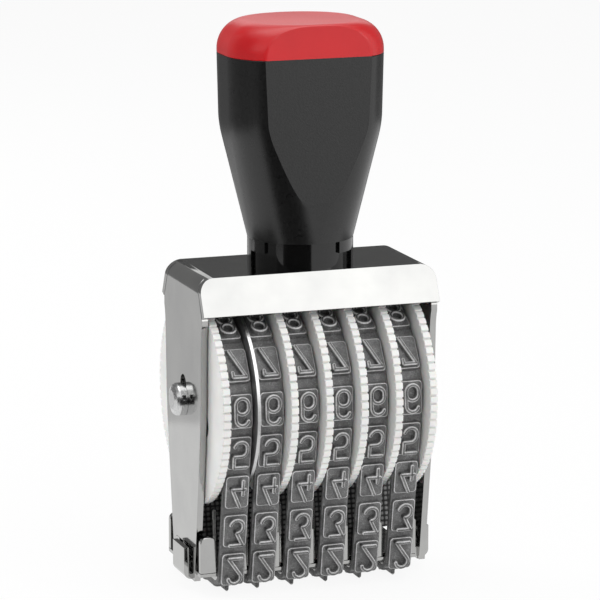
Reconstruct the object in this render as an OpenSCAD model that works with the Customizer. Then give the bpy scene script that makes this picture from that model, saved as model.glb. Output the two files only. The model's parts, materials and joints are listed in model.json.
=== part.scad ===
/* [Frame] */
// Thickness of the frame's steel sheet
frame_t = 1; // [0.8:0.1:1.2]
// Height of the frame's top face above the printing faces
frame_top_z = 50.6; // [49.5:0.1:54]
// Height of the lower ends of the side plates
plate_foot_z = 1.8; // [1.5:0.1:2]
// Depth of the flat top, front to back
top_d = 16.4; // [14:0.1:20]
// How far each lip leans out from the flat top
lip_out = 2.6; // [2:0.1:3.2]
// How far each lip hangs down from the flat top
lip_drop = 5.6; // [4:0.1:6]
// Seam between a lip and the edge of the side plate behind it
lip_seam = 0.25; // [0.15:0.05:0.4]
// Outside radius of the bend between the top and a side plate
bend_r = 2.4; // [1.8:0.1:3]
// Half depth of a side plate where its hollow upper curve starts
plate_shoulder_y = 9.15; // [9:0.05:9.4]
// Height where that curve starts
plate_shoulder_z = 40.5; // [39:0.1:41.5]
// Half depth of a side plate where its lower taper starts
plate_waist_y = 8.7; // [8.4:0.05:8.9]
// Height where the lower taper starts
plate_waist_z = 27; // [24:0.5:30]
// Height over which the waist is rounded
plate_waist_l = 6; // [3:0.5:8]
// Half depth of a side plate at its foot
plate_foot_y = 5.15; // [5:0.05:6]
// Radius of the hollow curve under each upper corner of a side plate
plate_curve_r = 10; // [8:0.5:14]

/* [Axle] */
// Height of the axle's centre above the printing faces
axle_z = 30; // [29.5:0.1:30.6]
// Diameter of the axle where the wheels turn
axle_d = 4; // [3:0.1:5]
// Diameter of the axle's ends, which sit in the slots of the side plates
journal_d = 2.8; // [2.4:0.1:2.9]
// Travel that each slot leaves above the axle's ends, for tensioning the bands
slot_travel = 2.5; // [1.5:0.1:4]
// Diameter of the axle's heads
head_d = 5.2; // [4.8:0.1:6]
// How far each head stands out from its side plate
head_h = 1.9; // [1.5:0.1:2.2]
// Diameter of a head's flat end, inside its dome
head_flat_d = 3; // [2:0.1:4]
// Height of a head's dome
head_dome_h = 0.9; // [0.6:0.1:1.1]
// Thickness of the spacer ring at the right end of the axle
spacer_t = 1.3; // [1:0.1:1.6]
// Diameter of the spacer ring
spacer_d = 7; // [6:0.1:9]

/* [Thumb wheels] */
// Number of thumb wheels, each with its own band
wheel_count = 6; // [6:1:6]
// Radius of a thumb wheel over its teeth
wheel_r = 16.6; // [16:0.1:17]
// Thickness of a thumb wheel's rim disc
disc_t = 1.2; // [1:0.1:1.4]
// Number of teeth round a rim
tooth_count = 80; // [60:4:100]
// Depth of the grooves between the teeth
tooth_depth = 0.4; // [0.2:0.05:0.5]
// Share of the tooth pitch that the groove takes
groove_share = 0.34; // [0.15:0.01:0.4]
// Radius of the drum that carries a band
drum_r = 12.3; // [12:0.1:12.5]
// Wall of the drum
drum_wall = 1.2; // [1:0.1:1.6]
// Diameter of the boss round the axle
boss_d = 7.6; // [6.4:0.1:9]
// Diameter of the round windows in a wheel's disc
window_d = 4; // [3:0.1:4.4]
// Radius of the circle on which the windows lie
window_ring_r = 7.3; // [6.5:0.1:8]
// Angle of the first window round the axle
window_turn = 82; // [0:1:120]
// Radius of the plain disc between the first two bands
separator_r = 15.5; // [15:0.1:16]
// Thickness of that disc
separator_t = 0.5; // [0.3:0.05:0.6]

/* [Number bands] */
// Width of a band's belt
belt_w = 4.2; // [3.9:0.1:4.3]
// Thickness of a band's belt
belt_t = 0.65; // [0.5:0.05:0.8]
// Number of pads round a band
pad_count = 17; // [16:1:17]
// Length of a pad along the band
pad_l = 5.5; // [5.2:0.1:5.6]
// Width of a pad
pad_w = 3.9; // [3.6:0.1:4]
// Corner radius of a pad
pad_r = 0.6; // [0.3:0.1:0.9]
// Height of a pad above the belt
pad_h = 0.6; // [0.4:0.05:0.8]
// Height of a figure
figure_h = 4.8; // [4.2:0.1:5]
// Width of a figure
figure_w = 2.6; // [2.2:0.1:2.9]
// Width of a figure's strokes
stroke_w = 0.55; // [0.4:0.05:0.7]
// Height of a figure above its pad
figure_relief = 0.95; // [0.7:0.05:1.1]
// Distance of the nought's centre behind the middle of the printing face
nought_shift = 2.8; // [2:0.1:3.5]
// Half depth of a band's inner face over the platen
band_half_d = 8.35; // [8:0.05:8.8]
// Radius of a band's inner face round the platen's corners
band_corner_r = 1.5; // [1.2:0.1:1.6]
// How far the first band sits from its drum's middle towards the plain disc
first_band_shift = 0.15; // [0:0.01:0.2]

/* [Platen and guides] */
// Thickness of the platen under which the bands pass
platen_t = 1.5; // [1.4:0.1:1.7]
// Thickness of the sheet that joins the platen's lands, one under each band
web_t = 0.55; // [0.4:0.05:0.7]
// Half depth of the narrow tongue at each end of the platen
tongue_y = 4.6; // [4:0.1:4.7]
// Half depth of the catch that is folded up outside each side plate
catch_y = 2.9; // [2.5:0.1:3.2]
// How far the catch stands in front of the middle
catch_shift = 0.7; // [0:0.1:0.9]
// Thickness of the catch
catch_t = 0.8; // [0.7:0.1:1]
// Gap between the catch and the side plate
catch_gap = 0.4; // [0.3:0.05:0.8]
// Height of the catch's upper edge above the printing faces
catch_top_z = 6.9; // [6.5:0.1:8]
// Radius of the upper corners of the notch and of the fingers in it
notch_r = 0.8; // [0.5:0.1:1]
// Thickness of the guide comb's tabs, front to back
tab_t = 0.9; // [0.7:0.1:1.2]
// Height of the tabs' upper edges above the printing faces
tab_top_z = 9.6; // [9:0.1:10]
// Width of the tabs that stand beside the right edge of each band
tab_w = 0.9; // [0.6:0.05:1]
// Largest radius of the tabs' upper corners
tab_r = 1.1; // [0.4:0.1:1.2]
// Thickness of the sheet that joins the tabs
comb_t = 0.6; // [0.5:0.05:0.8]

/* [Handle] */
// Width of the grip, left to right
grip_w = 24.8; // [22:0.1:27]
// Depth of the grip before its flats are cut
grip_d = 19.3; // [18.5:0.1:20]
// Corner radius of the grip's section
grip_r = 7.8; // [7.4:0.1:8.4]
// Depth over the grip's two flats
flat_d = 17.5; // [17.2:0.1:18]
// Radius of the round skirt at the foot of the grip
skirt_r = 8.3; // [8:0.1:8.5]
// Height of the skirt, up to where the grip widens
skirt_h = 4.2; // [3.6:0.1:5]
// Height over which the grip widens
flare_h = 18; // [15:0.5:22]
// Height of the upper part of the grip under the cap
straight_h = 10.9; // [8:0.1:14]
// How much that part widens on each side up to the cap
grip_taper = 0.2; // [0:0.05:0.4]
// Height of the cap
cap_h = 5.2; // [4.8:0.1:6.2]
// Radius of the cap's rounded upper edge
cap_r = 4.6; // [4:0.1:4.6]
// Diameter of the pin under the cap, which plugs into the grip
cap_pin_d = 9; // [7:0.5:11]
// Length of that pin
cap_pin_l = 4; // [3:0.5:6]
// Radius of the collar inside the skirt
collar_r = 7.85; // [7.5:0.05:7.9]
// How far the collar's spigot reaches up into the grip
spigot_h = 3; // [2:0.5:4]
// Radius of the collar's spigot
spigot_r = 5; // [4:0.5:6]
// Diameter of the screw that holds the handle
screw_d = 3.5; // [3:0.1:4]
// Diameter of the screw's head
screw_head_d = 6; // [5:0.1:7]
// Thickness of the screw's head
screw_head_h = 1.3; // [1:0.1:1.5]
// How far the screw reaches above the frame
screw_l = 16; // [12:0.5:24]
// Diameter of the washer under the screw's head
washer_d = 8; // [7:0.1:9]
// Thickness of that washer
washer_t = 0.5; // [0.4:0.1:0.7]
// Share of the skirt's height where the step beside each leg lies
step_share = 0.57; // [0.4:0.01:0.7]

/* [Fits] */
// Radial clearance of a running fit
run_fit = 0.05; // [0.02:0.01:0.08]
// Radial clearance of a fit that stands still
still_fit = 0.03; // [0.02:0.01:0.05]
// Gap between faces that pass each other along the axle
end_play = 0.1; // [0.08:0.01:0.12]
// Gap between a band and the faces that carry it
band_seat = 0.05; // [0.03:0.01:0.1]
// Gap between a band and the drum that turns inside it
drum_gap = 0.3; // [0.2:0.05:0.4]
// Gap between a band's edge and the disc beside it
band_side_gap = 0.15; // [0.12:0.01:0.2]
// Gap between the outer wheel and the side plate
wheel_side_gap = 0.25; // [0.2:0.01:0.4]
// Gap between the guide comb's tabs and the bands beside them
tab_gap = 0.12; // [0.1:0.01:0.2]

/* [Hidden] */
$fn = 48;

// The stack on the axle, from the left side plate to the right one
drum_l = belt_w + 2 * band_side_gap;
wheel_pitch = drum_l + disc_t;
separator_gap = end_play + separator_t + end_play;
stack_l = wheel_side_gap + disc_t + drum_l + separator_gap
    + (wheel_count - 1) * wheel_pitch + end_play + spacer_t + end_play;
frame_w = stack_l + 2 * frame_t;
plate_x = frame_w / 2 - frame_t;
first_disc_x = -plate_x + wheel_side_gap;
first_drum_x = first_disc_x + disc_t;
separator_x = first_drum_x + drum_l + end_play;
second_drum_x = separator_x + separator_t + end_play;
spacer_x = second_drum_x + (wheel_count - 1) * wheel_pitch + end_play;

// Left end of each wheel's drum, and the middle of each band
function drum_x(n) = n == 1 ? first_drum_x : second_drum_x + (n - 2) * wheel_pitch;
function band_x(n) = drum_x(n) + drum_l / 2 + (n == 1 ? first_band_shift : 0);

// A band's closed path: its inner face seen from the side, as four arcs and four straight runs
band_t = belt_t + pad_h + figure_relief;
band_foot_z = band_t;
band_wheel_r = drum_r + drum_gap;
corner_y = band_half_d - band_corner_r;
corner_z = band_foot_z + band_corner_r;
corner_to_axle = sqrt(pow(corner_y, 2) + pow(axle_z - corner_z, 2));
run_angle = atan2(corner_y, axle_z - corner_z)
    + acos((band_wheel_r - band_corner_r) / corner_to_axle);
run_l = sqrt(pow(corner_to_axle, 2) - pow(band_wheel_r - band_corner_r, 2));
corner_l = band_corner_r * run_angle * PI / 180;
over_wheel_l = band_wheel_r * (180 - run_angle) * PI / 180;
band_l = 2 * (corner_y + corner_l + run_l + over_wheel_l);
pad_pitch = band_l / pad_count;

// Where a point at distance s from the middle of the foot lies on the front half of the path,
// as how far it is to the front, how high it is, and how far its outward side has turned from down
function front_track(s) =
    s <= corner_y ? [s, band_foot_z, 0] :
    s <= corner_y + corner_l ?
        let (a = (s - corner_y) / band_corner_r * 180 / PI)
        [corner_y + band_corner_r * sin(a), corner_z - band_corner_r * cos(a), a] :
    s <= corner_y + corner_l + run_l ?
        let (u = s - corner_y - corner_l, a = run_angle)
        [corner_y + band_corner_r * sin(a) + u * cos(a),
         corner_z - band_corner_r * cos(a) + u * sin(a), a] :
    let (a = run_angle + (s - corner_y - corner_l - run_l) / band_wheel_r * 180 / PI)
    [band_wheel_r * sin(a), axle_z - band_wheel_r * cos(a), a];

// The same all round the band: negative distances lead up the back
function track(s) =
    let (w = s > band_l / 2 ? s - band_l : s, q = front_track(abs(w)))
    w >= 0 ? [-q[0], q[1], q[2]] : [q[0], q[1], -q[2]];

// Frame
lip_len = sqrt(pow(lip_out, 2) + pow(lip_drop, 2));
lip_in = [-lip_drop / lip_len, -lip_out / lip_len];
lip_slope = lip_out / lip_drop;
lip_tip = [top_d / 2 + lip_out, frame_top_z - lip_drop];
plate_setback = frame_t + lip_seam;
plate_tip = lip_tip + plate_setback * lip_in;
plate_top_y = plate_tip[0] - (frame_top_z - plate_tip[1]) * lip_slope;
shoulder = [plate_shoulder_y, plate_shoulder_z];
waist = [plate_waist_y, plate_waist_z];
foot = [plate_foot_y, plate_foot_z];
lower_waist = waist + (foot - waist) / norm(foot - waist) * plate_waist_l / 2;
upper_waist = waist + (shoulder - waist) / norm(shoulder - waist) * plate_waist_l / 2;
taper_angle = atan2(plate_shoulder_y - plate_waist_y, plate_shoulder_z - plate_waist_z);
curve_centre = [plate_shoulder_y + plate_curve_r * cos(taper_angle),
                plate_shoulder_z - plate_curve_r * sin(taper_angle)];
slot_w = journal_d + 2 * run_fit;
journal_reach = frame_w / 2 + head_h / 2;

// Platen and guides
platen_foot_z = band_foot_z + band_seat;
platen_top_z = platen_foot_z + platen_t;
platen_y = band_half_d - band_seat;
platen_r = band_corner_r - band_seat;
notch_y = tongue_y + still_fit;
notch_top_z = catch_top_z + still_fit;
platen_x = plate_x - wheel_side_gap / 2;
platen_end_x = band_x(wheel_count) + belt_w / 2 + tab_gap + tab_w;
ear_y = plate_foot_y + end_play
    + (platen_top_z - plate_foot_z) * (plate_waist_y - plate_foot_y) / (plate_waist_z - plate_foot_z);
catch_bend_r = catch_gap + catch_t;
rest_z = platen_top_z + still_fit;

// Handle
grip_foot_z = frame_top_z;
flare_z = grip_foot_z + skirt_h;
straight_z = flare_z + flare_h;
cap_z = straight_z + straight_h;
top_z = cap_z + cap_h;
skirt_turn = 16.5;
window_angle = 44.5;
leg_window_angle = 70.5;
step_z = grip_foot_z + step_share * skirt_h;
seam_gap = 0.02;
collar_top_z = flare_z - seam_gap;
spigot_top_z = collar_top_z + spigot_h;
layer = 0.01;
shoulder_h = 2;
eps = 0.01;
beyond = 100;

// Turns a drawing in the side view (y across, z up) into a slab from x to x + w
module side_slab(x, w) {
    translate([x, 0, 0]) rotate([90, 0, 90]) linear_extrude(w) children();
}

module x_cylinder(x, l, r) {
    translate([x, 0, axle_z]) rotate([0, 90, 0]) cylinder(h = l, r = r);
}

module both_ways() {
    children();
    mirror([0, 1, 0]) children();
}

module both_sides() {
    children();
    mirror([1, 0, 0]) children();
}

module rounded_rect(w, l, r) {
    square([w - 2 * r, l], center = true);
    square([w, l - 2 * r], center = true);
    for (sx = [-1, 1], sy = [-1, 1])
        translate([sx * (w / 2 - r), sy * (l / 2 - r)]) circle(r);
}

// ---- Frame ----

module plate_outline() {
    front = [foot, lower_waist, upper_waist, shoulder, [plate_tip[0], plate_shoulder_z],
             plate_tip, [plate_top_y, frame_top_z]];
    polygon([for (p = front) p, for (i = [len(front) - 1 : -1 : 0]) [-front[i][0], front[i][1]]]);
}

module lip_outline() {
    polygon([
        [top_d / 2, frame_top_z], lip_tip, lip_tip + frame_t * lip_in,
        [top_d / 2, frame_top_z] + frame_t * (lip_in + [-0.2, 0.2]),
        [top_d / 2 - 2 * frame_t, frame_top_z - frame_t],
        [top_d / 2 - 2 * frame_t, frame_top_z]]);
}

module bent_section(inset) {
    w = frame_w - 2 * inset;
    r = bend_r - inset;
    translate([-w / 2 + r, frame_top_z - beyond]) square([w - 2 * r, beyond - inset]);
    translate([-w / 2, frame_top_z - beyond]) square([w, beyond - inset - r]);
    for (s = [-1, 1])
        translate([s * (w / 2 - r), frame_top_z - inset - r]) circle(r);
}

module front_slab(section_d) {
    translate([0, section_d / 2, 0]) rotate([90, 0, 0]) linear_extrude(section_d) children();
}

module axle_slot() {
    side_slab(-frame_w, 2 * frame_w) {
        translate([0, axle_z]) circle(slot_w / 2);
        translate([-slot_w / 2, axle_z]) square([slot_w, slot_travel]);
        translate([0, axle_z + slot_travel]) circle(slot_w / 2);
    }
}

module platen_notch() {
    side_slab(-frame_w, 2 * frame_w) {
        translate([-notch_y, 0]) square([2 * notch_y, notch_top_z - notch_r]);
        translate([-notch_y + notch_r, 0]) square([2 * (notch_y - notch_r), notch_top_z]);
        for (s = [-1, 1])
            translate([s * (notch_y - notch_r), notch_top_z - notch_r]) circle(notch_r);
    }
}

module frame() {
    color("silver")
    difference() {
        union() {
            intersection() {
                difference() {
                    front_slab(4 * top_d) bent_section(0);
                    front_slab(5 * top_d) bent_section(frame_t);
                }
                difference() {
                    side_slab(-frame_w, 2 * frame_w) plate_outline();
                    both_ways() side_slab(-2 * frame_w, 4 * frame_w)
                        translate(curve_centre) circle(plate_curve_r);
                }
            }
            intersection() {
                front_slab(4 * top_d) bent_section(0);
                both_ways() side_slab(-frame_w, 2 * frame_w) lip_outline();
            }
        }
        axle_slot();
        platen_notch();
        translate([0, 0, frame_top_z - 2 * frame_t])
            cylinder(h = 3 * frame_t, d = screw_d + 2 * still_fit);
    }
}

// ---- Axle ----

// A domed head on the right, with a square staking mark on its flank
module axle_head() {
    flank_h = head_h - head_dome_h;
    mark = 0.85;
    difference() {
        translate([0, 0, axle_z]) rotate([0, 90, 0]) rotate_extrude()
            polygon([[0, 0], [head_d / 2, 0], [head_d / 2, flank_h],
                     [(0.45 * head_d + 0.05 * head_flat_d), flank_h + 0.3 * head_dome_h],
                     [(0.34 * head_d + 0.16 * head_flat_d), flank_h + 0.7 * head_dome_h],
                     [head_flat_d / 2, head_h], [0, head_h]]);
        translate([flank_h / 2 - mark / 4, -head_d / 2 - mark / 2, axle_z + mark / 3])
            cube([mark * 0.7, mark, mark]);
    }
}

module axle() {
    color("lightgray") {
        x_cylinder(-plate_x + end_play, 2 * (plate_x - end_play), axle_d / 2);
        x_cylinder(-journal_reach, 2 * journal_reach, journal_d / 2);
        mirror([1, 0, 0]) translate([frame_w / 2 + still_fit, 0, 0]) axle_head();
    }
}

module axle_cap() {
    color("lightgray")
    difference() {
        translate([frame_w / 2 + still_fit, 0, 0]) axle_head();
        x_cylinder(0, journal_reach + still_fit, journal_d / 2 + still_fit);
    }
}

module axle_spacer() {
    color("silver")
    difference() {
        x_cylinder(spacer_x, spacer_t, spacer_d / 2);
        x_cylinder(spacer_x - 1, spacer_t + 2, axle_d / 2 + still_fit);
    }
}

// ---- Thumb wheels ----

tooth_step = 360 / tooth_count;

function rim_point(r, a) = [r * cos(a), r * sin(a)];

module rim_outline() {
    groove = groove_share * tooth_step;
    polygon([for (i = [0 : tooth_count - 1]) let (a = (i + 0.5) * tooth_step)
        each [rim_point(wheel_r, a - tooth_step / 2 + groove / 2),
              rim_point(wheel_r, a + tooth_step / 2 - groove / 2),
              rim_point(wheel_r - tooth_depth, a + tooth_step / 2 - groove / 5),
              rim_point(wheel_r - tooth_depth, a + tooth_step / 2 + groove / 5)]]);
}

// A thumb wheel with its disc at x = 0 to disc_t and its drum reaching away from it
module wheel_body() {
    difference() {
        union() {
            rotate([90, 0, 90]) linear_extrude(disc_t) rim_outline();
            rotate([0, 90, 0]) cylinder(h = disc_t + drum_l - end_play, r = drum_r);
        }
        translate([disc_t, 0, 0]) rotate([0, 90, 0]) difference() {
            cylinder(h = drum_l + 1, r = drum_r - drum_wall);
            cylinder(h = drum_l + 1, d = boss_d);
        }
        translate([-1, 0, 0]) rotate([0, 90, 0])
            cylinder(h = disc_t + drum_l + 2, r = axle_d / 2 + run_fit);
        for (i = [0 : 2])
            rotate([window_turn + 120 * i, 0, 0]) translate([-1, window_ring_r, 0]) rotate([0, 90, 0])
                cylinder(h = disc_t + 2, d = window_d);
    }
}

module wheel(n) {
    color("white")
    if (n == 1)
        translate([first_disc_x, 0, axle_z]) wheel_body();
    else
        translate([drum_x(n) + wheel_pitch, 0, axle_z]) mirror([1, 0, 0])
            wheel_body();
}

module separator_disc() {
    color("gray")
    difference() {
        x_cylinder(separator_x, separator_t, separator_r);
        x_cylinder(separator_x - 1, separator_t + 2, axle_d / 2 + still_fit);
    }
}

// ---- Figures, drawn upright and centred ----

fig_y = figure_h / 2 - stroke_w / 2;
fig_x = figure_w / 2 - stroke_w / 2;
bowl_y = fig_y - fig_x;
six_l = 0.4;

module stroke(a, b) {
    d = (b - a) / norm(b - a) * stroke_w / 2;
    n = [-d[1], d[0]];
    polygon([a + n, a - n, b - n, b + n]);
    translate(a) circle(stroke_w / 2, $fn = 24);
    translate(b) circle(stroke_w / 2, $fn = 24);
}

// A bowl round c, from angle a0 anticlockwise to a1, at most three quarters of a turn
module bowl(c, r, a0, a1) {
    span = a1 - a0;
    far = 4 * r;
    translate(c) {
        intersection() {
            difference() {
                circle(r + stroke_w / 2);
                circle(r - stroke_w / 2);
            }
            polygon([[0, 0], for (k = [0 : 4]) rim_point(far, a0 + span * k / 4)]);
        }
        for (a = [a0, a1]) translate(rim_point(r, a)) circle(stroke_w / 2, $fn = 24);
    }
}

// A closed ring round c, drawn out upright by a straight length
module ring(c, r, l) {
    bowl(c + [0, l / 2], r, 0, 180);
    bowl(c - [0, l / 2], r, 180, 360);
    for (s = [-r, r]) stroke(c + [s, -l / 2 - eps], c + [s, l / 2 + eps]);
}

module figure(n) {
    if (n == 0) ring([0, 0], fig_x, 2 * bowl_y);
    if (n == 1) {
        stroke([0.2, -fig_y], [0.2, fig_y]);
        stroke([0.2, fig_y], [-0.7, fig_y - 0.9]);
    }
    if (n == 2) {
        bowl([0, bowl_y], fig_x, -25, 170);
        stroke(rim_point(fig_x, -25) + [0, bowl_y], [-fig_x, -fig_y]);
        stroke([-fig_x, -fig_y], [fig_x, -fig_y]);
    }
    if (n == 3) {
        stroke([-fig_x, fig_y], [fig_x, fig_y]);
        stroke([fig_x, fig_y], [0, 0.1]);
        bowl([0, 0.1 - fig_x], fig_x, -35, 90);
        bowl([0, fig_x - fig_y], fig_x, 195, 360);
        stroke([fig_x, fig_x - fig_y], [fig_x, 0.1 - fig_x]);
    }
    if (n == 4) {
        stroke([0.65, -fig_y], [0.65, 2.3 - fig_y]);
        stroke([0.2, fig_y], [-fig_x, 1.4 - fig_y]);
        stroke([-fig_x, 1.4 - fig_y], [fig_x, 1.4 - fig_y]);
    }
    if (n == 5) {
        stroke([fig_x, fig_y], [-fig_x, fig_y]);
        stroke([-fig_x, fig_y], [-fig_x, 0.3]);
        stroke([-fig_x, 0.3], [0, 0.3]);
        bowl([0, 0.3 - fig_x], fig_x, 0, 90);
        stroke([fig_x, 0.3 - fig_x], [fig_x, fig_x - fig_y]);
        bowl([0, fig_x - fig_y], fig_x, 195, 360);
    }
    if (n == 6) six();
    if (n == 7) {
        stroke([-fig_x, fig_y], [fig_x, fig_y]);
        stroke([-fig_x, fig_y], [-fig_x, fig_y - 0.7]);
        stroke([fig_x, fig_y], [-fig_x, -fig_y]);
    }
    if (n == 8) {
        ring([0, -fig_y / 2], fig_x, fig_y - 2 * fig_x + eps);
        ring([0, fig_y / 2], fig_x, fig_y - 2 * fig_x + eps);
    }
    if (n == 9) rotate(180) six();
    if (n == 11) stroke([-0.8, 0], [0.8, 0]);
    if (n == 12) stroke([-fig_x, -fig_y], [fig_x, fig_y]);
    if (n == 13) translate([0, -fig_y + 0.2]) circle(0.5);
    if (n == 14) {
        stroke([-0.8, 0], [0.8, 0]);
        stroke([0, -0.8], [0, 0.8]);
    }
    if (n == 15) {
        stroke([-0.8, 0.5], [0.8, 0.5]);
        stroke([-0.8, -0.5], [0.8, -0.5]);
    }
}

module six() {
    ring([0, fig_x + six_l / 2 - fig_y], fig_x, six_l);
    stroke([-fig_x, fig_x - fig_y], [-fig_x, bowl_y]);
    bowl([0, bowl_y], fig_x, 20, 180);
}

// ---- Number bands ----

module loop_outline(out) {
    translate([0, axle_z]) circle(band_wheel_r + out);
    for (s = [-1, 1]) translate([s * corner_y, corner_z]) circle(band_corner_r + out);
    n = [sin(run_angle), -cos(run_angle)];
    over = (band_wheel_r + out) * n + [0, axle_z];
    under = (band_corner_r + out) * n + [corner_y, corner_z];
    foot = [corner_y, band_foot_z - out];
    polygon([over, under, foot, [-foot[0], foot[1]], [-under[0], under[1]], [-over[0], over[1]]]);
}

module on_track(s) {
    q = track(s);
    translate([0, q[0], q[1]]) rotate([180 - q[2], 0, 0]) children();
}

module band(n) {
    color("dimgray")
    translate([band_x(n), 0, 0]) {
        difference() {
            side_slab(-belt_w / 2, belt_w) loop_outline(belt_t);
            side_slab(-belt_w, 2 * belt_w) loop_outline(0);
        }
        for (i = [0 : pad_count - 1])
            on_track(i * pad_pitch - nought_shift) {
                translate([0, 0, belt_t / 4])
                    linear_extrude(3 / 4 * belt_t + pad_h) rounded_rect(pad_w, pad_l, pad_r);
                if (i < 10 || (i > 10 && i < 16))
                    translate([0, 0, belt_t + pad_h / 2])
                        linear_extrude(pad_h / 2 + figure_relief) mirror([0, 1]) figure(i);
            }
    }
}

// ---- Platen and guides ----

module platen_section() {
    translate([-platen_y, platen_foot_z + platen_r])
        square([2 * platen_y, platen_t - platen_r]);
    translate([-corner_y, platen_foot_z]) square([2 * corner_y, platen_t]);
    for (s = [-1, 1]) intersection() {
        translate([s * corner_y, platen_foot_z + platen_r]) circle(platen_r);
        translate([-platen_y, platen_foot_z]) square([2 * platen_y, platen_t]);
    }
}

// The catch seen from the front: out under the side plate and up outside it
module catch_section() {
    translate([frame_w / 2 + catch_gap, plate_foot_z + catch_bend_r])
        square([catch_t, catch_top_z - plate_foot_z - catch_bend_r]);
    translate([frame_w / 2 - frame_t, plate_foot_z]) square([frame_t + eps, catch_t]);
    intersection() {
        translate([frame_w / 2, plate_foot_z + catch_bend_r]) difference() {
            circle(catch_bend_r);
            circle(catch_gap);
        }
        translate([frame_w / 2, plate_foot_z]) square(catch_bend_r + eps);
    }
}

module web_section() {
    intersection() {
        platen_section();
        translate([-platen_y, platen_top_z - web_t]) square([2 * platen_y, web_t]);
    }
}

module platen() {
    color("silver") {
        for (n = [1 : wheel_count]) side_slab(band_x(n) - belt_w / 2, belt_w) platen_section();
        side_slab(-platen_x, platen_x + platen_end_x) web_section();
        // Ears in front of the left side plate and behind it
        difference() {
            side_slab(-frame_w / 2, frame_w / 2 - platen_x + eps) web_section();
            translate([-frame_w, -ear_y, 0]) cube([frame_w, 2 * ear_y, frame_w]);
        }
        both_sides() {
            translate([band_x(wheel_count), -tongue_y, platen_foot_z])
                cube([platen_x - band_x(wheel_count), 2 * tongue_y, platen_t]);
            // A narrow tongue out to the side plate, with two fingers standing in its notch
            translate([platen_x - eps, -tongue_y, plate_foot_z])
                cube([frame_w / 2 - platen_x + eps, 2 * tongue_y, platen_top_z - plate_foot_z]);
            intersection() {
                side_slab(plate_x + still_fit, frame_t - still_fit)
                    translate([0, (plate_foot_z + catch_top_z) / 2])
                    rounded_rect(2 * tongue_y, catch_top_z - plate_foot_z, notch_r);
                for (y = [-tongue_y, catch_y - catch_shift + catch_gap])
                    translate([0, y, 0]) cube([frame_w, y < 0 ?
                        tongue_y - catch_y - catch_shift - catch_gap : tongue_y - y, catch_top_z]);
            }
            translate([0, catch_y - catch_shift, 0]) rotate([90, 0, 0])
                linear_extrude(2 * catch_y) catch_section();
        }
    }
}

// A tab seen from the front, from x0 to x1
module tab_section(x0, x1) {
    r = min(tab_r, (x1 - x0) / 2 - eps);
    translate([x0, rest_z]) square([x1 - x0, tab_top_z - r - rest_z]);
    translate([x0 + r, rest_z]) square([x1 - x0 - 2 * r, tab_top_z - rest_z]);
    for (x = [x0 + r, x1 - r]) translate([x, tab_top_z - r]) circle(r);
}

// A sheet on the platen with tabs folded up at the front and the back, beside and between the bands
module guide_comb() {
    function left_of(n) = band_x(n) - belt_w / 2 - tab_gap;
    function right_of(n) = band_x(n) + belt_w / 2 + tab_gap;
    spans = [[-frame_w / 2, left_of(1)],
             for (n = [1 : wheel_count - 1]) [right_of(n), min(right_of(n) + tab_w, left_of(n + 1))],
             [right_of(wheel_count), platen_end_x]];
    color("silver") {
        translate([-platen_x, tab_t / 2 - platen_y, rest_z])
            cube([platen_x + platen_end_x, 2 * platen_y - tab_t, comb_t]);
        both_ways() for (w = spans)
            translate([0, tab_t - platen_y, 0]) rotate([90, 0, 0]) linear_extrude(tab_t)
                tab_section(w[0], w[1]);
    }
}

// ---- Handle ----

module wedge(half_angle, z0, z1) {
    translate([0, 0, z0]) linear_extrude(z1 - z0)
        polygon([[0, 0], for (k = [-2 : 2]) let (a = -90 + half_angle * k / 2)
                 [beyond * cos(a), beyond * sin(a)]]);
}

module handle_collar() {
    color("black")
    difference() {
        union() {
            translate([0, 0, frame_top_z]) cylinder(h = collar_top_z - frame_top_z, r = collar_r);
            translate([0, 0, collar_top_z - eps]) cylinder(h = spigot_h + eps, r = spigot_r);
        }
        translate([0, 0, frame_top_z - 1])
            cylinder(h = beyond, d = screw_d + 2 * still_fit);
    }
}

module screw_washer() {
    color("silver")
    translate([0, 0, frame_top_z - frame_t - washer_t]) difference() {
        cylinder(h = washer_t, d = washer_d);
        translate([0, 0, -1]) cylinder(h = washer_t + 2, d = screw_d + 2 * still_fit);
    }
}

module handle_screw() {
    head_top = frame_top_z - frame_t - washer_t;
    color("silver")
    difference() {
        union() {
            translate([0, 0, head_top - screw_head_h]) cylinder(h = screw_head_h, d = screw_head_d);
            translate([0, 0, head_top - eps])
                cylinder(h = frame_top_z + screw_l - head_top, d = screw_d);
        }
        // Cross recess
        for (a = [0, 90]) rotate(a) translate([-screw_head_d / 4, -0.3, head_top - screw_head_h - 1])
            cube([screw_head_d / 2, 0.6, 1 + screw_head_h / 2]);
    }
}

// The grip's section, from the round skirt at t = 0 to the full oblong at t = 1
module grip_section(t, inset) {
    r = skirt_r + (grip_r - skirt_r) * t - inset;
    w = 2 * skirt_r + (grip_w - 2 * skirt_r) * t - 2 * inset;
    d = 2 * skirt_r + (grip_d - 2 * skirt_r) * t - 2 * inset;
    rounded_rect(w, d, r);
}

module grip_layer(z, t, inset) {
    translate([0, 0, z]) linear_extrude(layer) grip_section(t, inset);
}

module flats(z0, z1) {
    for (s = [-1, 1]) translate([-beyond / 2, s > 0 ? flat_d / 2 : -flat_d / 2 - beyond, z0])
        cube([beyond, beyond, z1 - z0]);
}

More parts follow.
